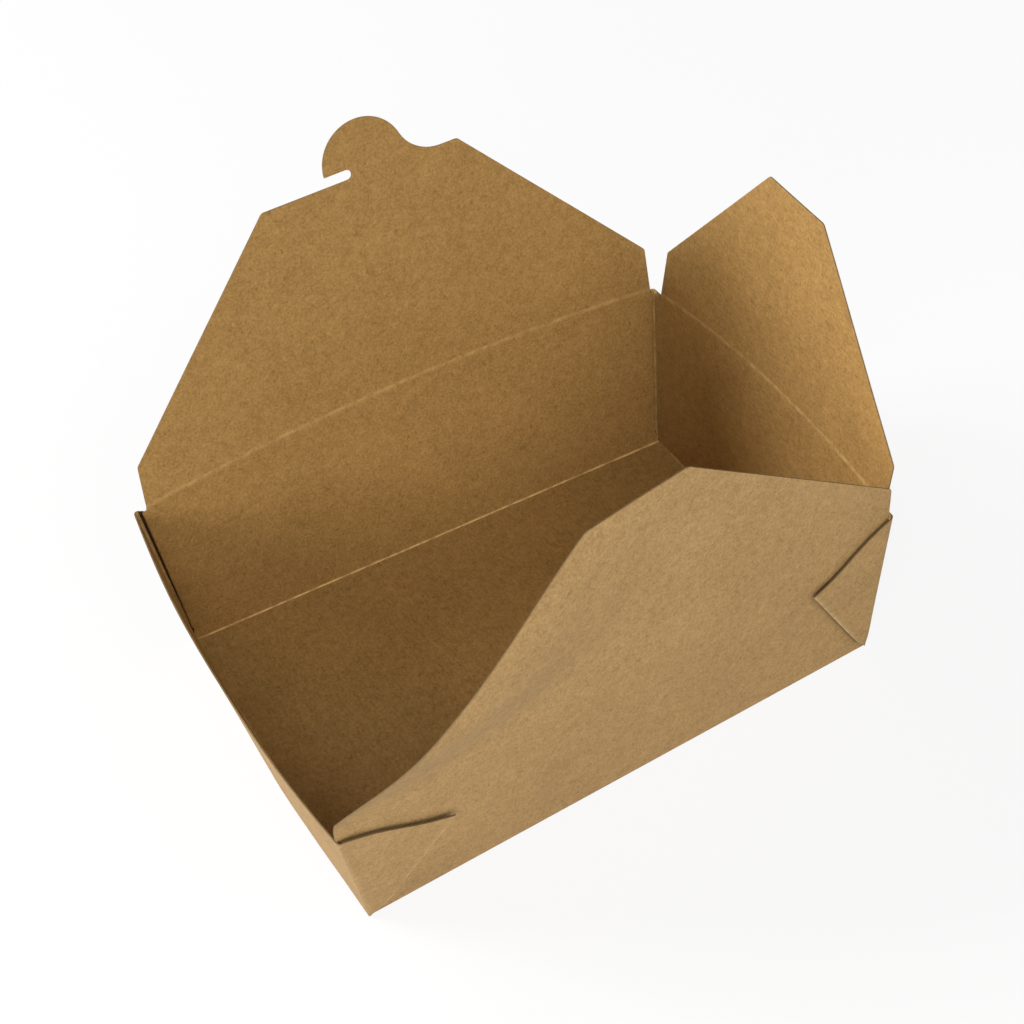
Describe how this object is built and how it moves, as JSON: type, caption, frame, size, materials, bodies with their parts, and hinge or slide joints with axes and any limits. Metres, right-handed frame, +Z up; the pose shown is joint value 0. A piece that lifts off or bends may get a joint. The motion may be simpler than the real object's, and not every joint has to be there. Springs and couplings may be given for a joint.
{
  "type": "takeaway box",
  "caption": "Open kraft board food box folded from one sheet, with leaning walls, folded corner webs and creased flaps; the back flap has a hook tab.",
  "frame": {"origin": "middle of the floor's underside", "axes": "+Z up, +X along the long side to the end that has a flap, +Y from the front wall to the back wall"},
  "size_m": [0.228, 0.1895, 0.1684],
  "materials": {
    "kraft_board": "matt uncoated brown kraft board with visible fibre"
  },
  "bodies": {
    "tray": {"tray": "kraft_board"},
    "back_flap": {"back_flap": "kraft_board"},
    "end_flap": {"end_flap": "kraft_board"},
    "front_flap": {"front_flap": "kraft_board"}
  },
  "joints": [
    {"name": "back_crease", "type": "hinge", "parent": "tray", "child": "back_flap", "pos_m": [0.0028, 0.07677, 0.065], "axis": [1, 0, 0], "range_deg": [-97, 98]},
    {"name": "end_crease", "type": "hinge", "parent": "tray", "child": "end_flap", "pos_m": [0.10418, 0.00391, 0.0636], "axis": [-0.0383, -0.9993, 0], "range_deg": [-97, 99]},
    {"name": "front_crease", "type": "hinge", "parent": "tray", "child": "front_flap", "pos_m": [-0.00282, -0.07678, 0.0643], "axis": [-0.9972, -0.0745, 0], "range_deg": [-100, 96]}
  ]
}
